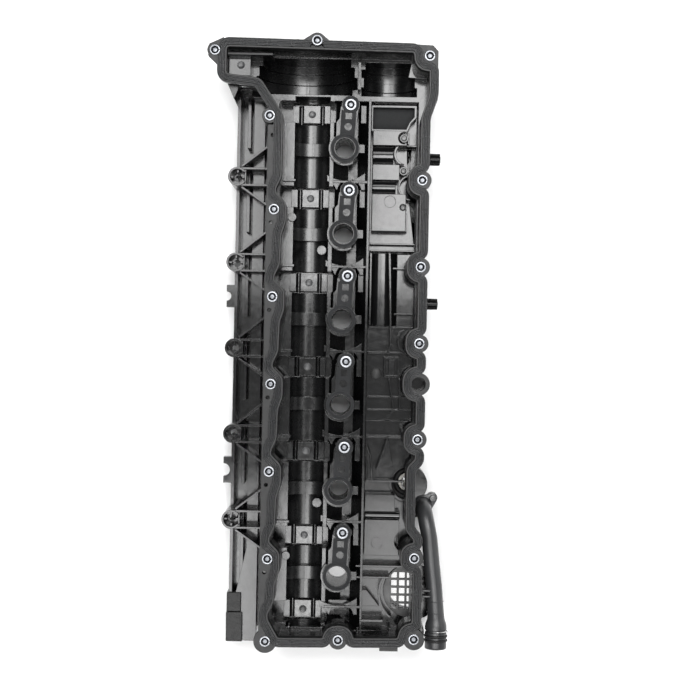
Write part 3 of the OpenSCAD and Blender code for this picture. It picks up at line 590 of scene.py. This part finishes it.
# grooves of the hose end as (front y, rear y, radius at the bottom)
GROOVES = ((-280.1, -282.3, 10.4), (-285.3, -287.7, 10.3), (-289.8, -292.2, 10.3))
hose_rows = [(-271, 9.9), (-273.5, 10.9), (-275.5, 11.35), (-277, HOSE_R)]
for front, rear, bottom in GROOVES:
    hose_rows += [(front + 0.4, HOSE_R), (front + 0.1, 11.2), (front, bottom),
                  (rear, bottom), (rear - 0.1, 11.2), (rear - 0.4, HOSE_R)]
# the rounded end, and back inside the bore
hose_rows += [(-298.4, HOSE_R), (-299.4, 11.2), (-299.95, 10.6), (-299.95, 9.2), (-299.4, 8.6),
              (-290, 8.5), (-280, 8.4)]
path = smooth_path(KNOTS, 7) + [[end.x, y, end.z, radius] for y, radius in hose_rows]
rings = []
for i, (x, y, z, radius) in enumerate(path):
    if y < HOSE_END_Y:
        ahead = Vector((0, -1, 0))
    else:
        ahead = (Vector(path[i + 1][:3]) - Vector(path[max(i - 1, 0)][:3])).normalized()
    side = ahead.cross(Vector((1, 0, 0))).normalized()
    rings.append([p * MM for p in ring_round(Vector((x, y, z)), side, ahead.cross(side), radius, 56)])
tube = loft(rings)

# the foot: a plate with two screw lobes, and a collar
lobe = Vector((10.4, 8.2))
LOBE_R = 5.1
base = plate_of([(foot.x, foot.y, 10.4), (foot.x + lobe.x, foot.y + lobe.y, LOBE_R),
                 (foot.x - lobe.x, foot.y - lobe.y, LOBE_R)],
                ((-58, -0.3), (-57.7, 0), (-53.7, 0), (-53.2, -0.25), (-53, -0.8)))
collar = turned([(8.3, -53.2), (9.9, -53.1), (9.3, -52.4), (8.9, -51), (8.5, -49), (8.3, -48.8)], 56)
collar = shifted(collar, Vector((foot.x, foot.y, 0)) * MM)

# the saddle that ties the pipe to the cover, and two raised bands
webs = [bar((88.0, y - 1, -26), (98.5, y + 1, -12.2), 0.4) for y in (-238, -244)]
saddle_plate = bar((86.6, -249.8, -29.8), (90.1, -233.2, -9.2), 0.7)


def pipe_band(y):
    circle = [Vector((math.cos(TURN * k / 48), 0, math.sin(TURN * k / 48))) * 8.75 * MM for k in range(48)]
    return shifted(tube_along(circle, 0.45 * MM, 10, True), Vector((104.2, y, end.z)) * MM)


bands = [pipe_band(y) for y in (-250, -262)]
piece("breather_pipe_moulded", joined(tube, base, collar, saddle_plate, *webs, *bands), "pipe_plastic",
      instead_of=["breather_pipe"])

WIRE_R = 0.72           # radius of the clip's wire, in mm
STEP = 1.85             # degrees between its points
TAB_ANGLE = 24          # where it bows out to be pulled, in degrees
low, high = box_mm("breather_clip")
y = (low.y + high.y) / 2
wire = []
for i in range(-48, 49):
    angle = math.radians(i * STEP)
    pull = max(0.0, 1 - abs(i * STEP - TAB_ANGLE) / 11)
    reach = 11.55 + 3.4 * (pull * pull * (3 - 2 * pull))
    spot = Vector((end.x + reach * math.cos(angle), y, end.z + reach * math.sin(angle)))
    spot.x = min(spot.x, high.x - 0.8)
    wire.append(spot * MM)
piece("breather_clip_wire", tube_along(wire, WIRE_R * MM, 16), "spring_steel", "breather_clip",
      ["breather_clip"])


# ---- Small round parts ----

low, high = box_mm("drain_valve")
tall = high.z - low.z
valve = turned([
    (1.0, 0), (2.0, 0.15), (2.4, 0.6), (2.4, tall - 2.2), (3.4, tall - 1.8), (5.6, tall - 1.5),
    (6.05, tall - 1.3), (6.1, tall - 1.05), (5.7, tall - 0.8), (3.6, tall - 0.35), (1.8, tall - 0.04),
    (0.5, tall)], 48)
piece("drain_valve_lip", shifted(valve, base_of(low, high)), "valve_rubber", "drain_valve", ["drain_valve"])


def thread_rows(start, count, step, pitch, deep, outer):
    return [(thread(step * i, pitch, deep, outer), start + step * i) for i in range(count)]


screws = []
for low, high in solids_of("pipe_screws"):
    tall = high.z - low.z
    shank = [(1.6, 0), (2.1, 0.4)] + thread_rows(0.5, 26, 0.17, 0.9, 0.35, 2.15)
    head = [(2.1, tall - 3.5), (3.0, tall - 3.45), (3.25, tall - 3.2), (3.25, tall - 0.6),
            (2.95, tall - 0.15), (2.5, tall)]
    socket = [(hexagon(1.8), tall), (hexagon(1.7), tall - 0.15), (hexagon(1.7), tall - 1.8), (0.4, tall - 2)]
    screws.append(shifted(turned(shank + head + socket, 36), base_of(low, high)))
piece("pipe_screws_threaded", joined(*screws), "screw_steel", instead_of=["pipe_screws"])

screws = []
for low, high in solids_of("baffle_screws"):
    tall = high.z - low.z
    shank = [(0.3, 0), (1.0, 1.2)] + thread_rows(1.4, int((tall - 4.2) / 0.2), 0.2, 1.3, 0.3, 1.48)
    head = [(1.48, tall - 2.6), (3.0, tall - 2.4), (3.18, tall - 2.1), (3.18, tall - 0.9), (2.8, tall - 0.35),
            (2.1, tall)]
    socket = [(star(1.7, 1.25), tall), (star(1.6, 1.15), tall - 0.2), (star(1.6, 1.15), tall - 1.4),
              (0.3, tall - 1.6)]
    screws.append(shifted(turned(shank + head + socket, 48), base_of(low, high)))
piece("baffle_screws_threaded", joined(*screws), "screw_steel", instead_of=["baffle_screws"])


# ---- Marks of the mould's ejector pins ----

def ejector_mark(x, y, z, radius):
    """A shallow round mark with a raised rim."""
    profile = [(radius, 0), (radius - 0.04, 0.06), (radius - 0.3, 0.07), (radius - 0.45, 0.06), (0.5, 0.06)]
    return shifted(turned(profile, 40), Vector((x, y, z - 0.02)) * MM)


# one on each bearing's middle pad, 6.5 mm behind the coil bolts, one on the rearmost, and one in the corner
PAD = Vector((-36.2, 0, -61))
PAD_MARK_R = 4.1
coil_bolt_ys = [(low + high).y / 2 for low, high in map(box_mm, COIL_BOLTS)]
pad_ys = [y - 6.5 for y in coil_bolt_ys] + [min(coil_bolt_ys) - 86.5]
marks = [ejector_mark(PAD.x, y, PAD.z, PAD_MARK_R) for y in pad_ys] + [ejector_mark(-111, 311, -20, 4.2)]
piece("cover_ejector_marks", joined(*marks), "pipe_plastic")


# ---- Studio ----

def soft_light(name, place, target, size, radiance):
    """A rectangular softbox; radiance is what a mirror would show of it."""
    data = bpy.data.lights.new(name, "AREA")
    data.shape = "RECTANGLE"
    data.size, data.size_y = size
    data.energy = radiance * math.pi * size[0] * size[1]
    lamp = bpy.data.objects.new(name, data)
    lamp.location = place
    lamp.rotation_mode = "QUATERNION"
    lamp.rotation_quaternion = (Vector(target) - Vector(place)).to_track_quat("-Z", "Y")
    bpy.context.scene.collection.objects.link(lamp)


EYE = (0.0095, 0.013, 1.47)
VIEW_ANGLE = 27.8       # degrees across the picture
ROLL = 1.1              # degrees that the camera is turned about its line of sight
LAMP_HEIGHT = 1.62
# softboxes over the cover: name, near and far y, and strips of (left x, right x, radiance), in metres;
# the dark gaps between the strips and boxes are what the glossy faces show as black
BOXES = (
    ("front_box", 0.15, 1.05, ((-0.75, -0.18, 8.5), (-0.13, -0.03, 17.0), (0.03, 0.75, 13.0))),
    ("rear_box", -0.30, -1.15, ((-0.75, -0.18, 9.5), (-0.13, -0.03, 15.0), (0.03, 0.75, 6.0))),
    ("middle_box", -0.28, 0.13, ((-0.75, 0.75, 0.55),)),
)
low, high = (Vector(corner) for corner in CAD_BOX)
MIDDLE = (low + high) / 2
FLOOR_Z = low.z


def add_camera():
    data = bpy.data.cameras.new("camera")
    data.angle = math.radians(VIEW_ANGLE)
    data.clip_end = 20
    camera = bpy.data.objects.new("camera", data)
    camera.location = EYE
    camera.rotation_euler = (0, 0, math.radians(ROLL))
    bpy.context.scene.collection.objects.link(camera)
    bpy.context.scene.camera = camera


def add_lights():
    for name, near, far, strips in BOXES:
        for left, right, radiance in strips:
            place = ((left + right) / 2, (near + far) / 2, LAMP_HEIGHT)
            soft_light(name, place, (place[0], place[1], 0), (right - left, abs(far - near)), radiance)
    for name, side in (("left_box", -1), ("right_box", 1)):
        soft_light(name, (MIDDLE.x + side * 1.7, MIDDLE.y, 0.75), MIDDLE, (1.3, 0.9), 1.6)


def add_surroundings():
    """A room that is bright at the horizon and dark above."""
    world = bpy.data.worlds.new("studio")
    bpy.context.scene.world = world
    world.use_nodes = True
    tree = world.node_tree
    ray = add_node(tree, "ShaderNodeTexCoord").outputs["Generated"]
    rise = add_node(tree, "ShaderNodeSeparateXYZ", {"Vector": ray}).outputs["Z"]
    strength = spread(tree, rise, 0.03, 0.45, 0.8, 0.03)
    tree.links.new(strength, tree.nodes["Background"].inputs["Strength"])
    tree.nodes["Background"].inputs["Color"].default_value = (1.0, 1.0, 1.0, 1.0)


def add_floor():
    """Pale paper under the cover."""
    bpy.ops.mesh.primitive_plane_add(size=9, location=(MIDDLE.x, MIDDLE.y, FLOOR_Z))
    floor = bpy.context.object
    floor.name = "floor"
    paper = bpy.data.materials.new("paper")
    paper.use_nodes = True
    tree = paper.node_tree
    shader = tree.nodes["Principled BSDF"]
    place = add_node(tree, "ShaderNodeTexCoord").outputs["Object"]
    tone = mixed(tree, noise_of(tree, place, 14.0, 5.0), grey(0.86), grey(0.89))
    tree.links.new(tone, shader.inputs["Base Color"])
    shader.inputs["Roughness"].default_value = 0.7
    shader.inputs["Specular IOR Level"].default_value = 0.1
    floor.data.materials.append(paper)


def add_card(name, place, radius, glow):
    """A glowing round card just above the floor, painted light: it stands for bright paper seen through an
    opening.
    """
    location = (place.x, place.y, FLOOR_Z + 0.0003)
    bpy.ops.mesh.primitive_circle_add(vertices=48, radius=radius, fill_type="NGON", location=location)
    card = bpy.context.object
    card.name = name
    lit = bpy.data.materials.new(name)
    lit.use_nodes = True
    shader = lit.node_tree.nodes["Principled BSDF"]
    shader.inputs["Emission Color"].default_value = (1.0, 1.0, 1.0, 1.0)
    shader.inputs["Emission Strength"].default_value = glow
    card.data.materials.append(lit)


add_camera()
add_lights()
add_surroundings()
add_floor()
# glowing cards, painted light: bright paper seen through the filler grille and a coil well
add_card("filler_card", sum(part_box("filler_grille"), Vector()) / 2, 0.023, 0.8)
add_card("well_card", Vector((0, min(coil_bolt_ys) * MM - 0.046, 0)), 0.011, 0.5)
bpy.context.scene.view_settings.view_transform = "Standard"
bpy.context.scene.view_settings.look = "None"
